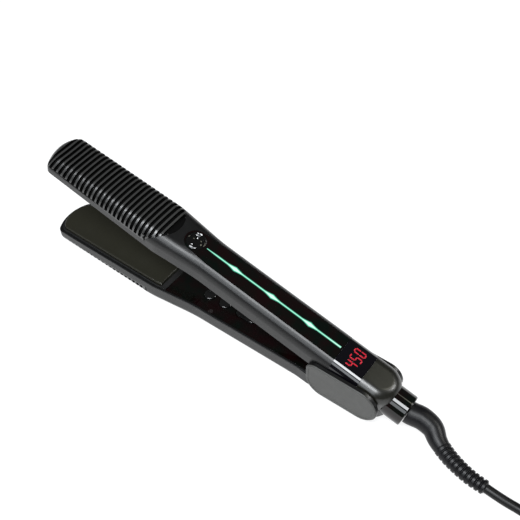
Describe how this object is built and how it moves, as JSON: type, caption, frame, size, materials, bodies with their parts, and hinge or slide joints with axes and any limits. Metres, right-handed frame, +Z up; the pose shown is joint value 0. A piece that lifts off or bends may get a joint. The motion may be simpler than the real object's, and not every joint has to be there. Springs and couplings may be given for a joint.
{
  "type": "hair straightener",
  "caption": "Slim hair straightener with ribbed nose covers, lit line and display on the upper arm, keys on the lower arm and a swivel power cord.",
  "frame": {"origin": "on the surface it lies on, under the middle of the straightener's own box", "axes": "+X from the nose to the hinge and cord, +Y across the arms away from the near side plate, +Z up"},
  "size_m": [0.5336, 0.0486, 0.0826],
  "materials": {
    "shell": "dark grey soft-touch paint, satin",
    "ribbed_cover": "black heat-resistant plastic, fine matte grain",
    "gloss_black": "piano black",
    "screen": "smoked black window, high gloss",
    "light_line": "frosted light guide, pale mint",
    "red_digits": "lit red segments",
    "ornament": "black cut stone, bright facets",
    "ceramic": "black ceramic coating, satin sheen",
    "carrier": "glass-filled nylon",
    "ceramic_heater": "fired alumina, pale",
    "steel": "plain steel",
    "spring_steel": "oiled spring wire",
    "mica": "mica sheet",
    "silicone": "red silicone",
    "lead_sleeve": "glass-fibre sleeve",
    "board": "green circuit board",
    "component": "black packages",
    "led": "chips with clear lenses",
    "key": "black keys with a chrome-bright edge",
    "side_plate": "grey satin with a bright edge",
    "bush": "acetal",
    "contact": "slip rings",
    "boot_rubber": "black moulded rubber",
    "cord_jacket": "black PVC jacket",
    "blade": "nickel-bright brass blades",
    "strap": "black soft strap"
  },
  "bodies": {
    "upper_arm": {"upper_housing": "shell", "upper_rib_cover": "ribbed_cover", "gloss_inlay": "gloss_black", "light_strip": "light_line", "led_board": "board", "strip_leds": "led", "faceted_ornament": "ornament", "display_window": "screen", "display_digits": "red_digits", "display_module": "component", "control_board": "board", "board_components": "component", "tail_cap": "gloss_black", "tail_block": "shell", "upper_inner_cover": "gloss_black", "cover_screws": "steel", "upper_plate_carrier": "carrier", "upper_heat_shield": "mica", "upper_cushions": "silicone", "upper_heater_leads": "lead_sleeve", "hinge_pin": "steel", "hinge_spring": "spring_steel", "swivel_collar": "gloss_black", "swivel_washer": "steel", "swivel_contacts": "contact"},
    "lower_arm": {"lower_housing": "shell", "lower_rib_cover": "ribbed_cover", "lower_inner_panel": "gloss_black", "button_board": "board", "tact_switches": "component", "board_screws": "steel", "lower_plate_carrier": "carrier", "lower_heat_shield": "mica", "lower_cushions": "silicone", "lower_heater_leads": "lead_sleeve", "hinge_bushes": "bush", "near_side_plate": "side_plate", "far_side_plate": "side_plate"},
    "upper_plate_set": {"upper_plate": "ceramic", "upper_heater": "ceramic_heater", "upper_heater_clamp": "steel", "upper_thermal_fuse": "steel"},
    "lower_plate_set": {"lower_plate": "ceramic", "lower_heater": "ceramic_heater", "lower_heater_clamp": "steel", "lower_thermal_fuse": "steel"},
    "power_key": {"power_button": "key"},
    "mode_key": {"mode_button": "key"},
    "temperature_key": {"temperature_rocker": "key"},
    "cord_end": {"cord_boot": "boot_rubber", "cord": "cord_jacket", "cord_hank": "cord_jacket", "cord_tie": "strap", "plug_body": "boot_rubber", "plug_blades": "blade"}
  },
  "joints": [
    {"name": "arm_hinge", "type": "hinge", "parent": "upper_arm", "child": "lower_arm", "pos_m": [0.09734, 0, 0.0165], "axis": [0, 1, 0], "range_deg": [0, 13], "stiffness_Nm_per_rad": 4.2, "springref_deg": -6.88},
    {"name": "upper_plate_float", "type": "slide", "parent": "upper_arm", "child": "upper_plate_set", "axis": [0.225, 0, 0.9744], "range_m": [0, 0.0008], "stiffness_N_per_m": 9000, "springref_m": -0.0003},
    {"name": "lower_plate_float", "type": "slide", "parent": "lower_arm", "child": "lower_plate_set", "axis": [0, 0, -1], "range_m": [0, 0.0008], "stiffness_N_per_m": 9000, "springref_m": -0.0003},
    {"name": "power_press", "type": "slide", "parent": "lower_arm", "child": "power_key", "axis": [0, 0, -1], "range_m": [0, 0.0005], "stiffness_N_per_m": 1000, "springref_m": -0.0003},
    {"name": "mode_press", "type": "slide", "parent": "lower_arm", "child": "mode_key", "axis": [0, 0, -1], "range_m": [0, 0.0005], "stiffness_N_per_m": 1000, "springref_m": -0.0003},
    {"name": "temperature_tilt", "type": "hinge", "parent": "lower_arm", "child": "temperature_key", "pos_m": [0.01984, 0, 0.0109], "axis": [0, 1, 0], "range_deg": [-4, 4], "stiffness_Nm_per_rad": 0.06},
    {"name": "cord_swivel", "type": "hinge", "parent": "upper_arm", "child": "cord_end", "pos_m": [0.13993, 0, 0.01159], "axis": [0.9744, 0, -0.225], "continuous": true}
  ]
}
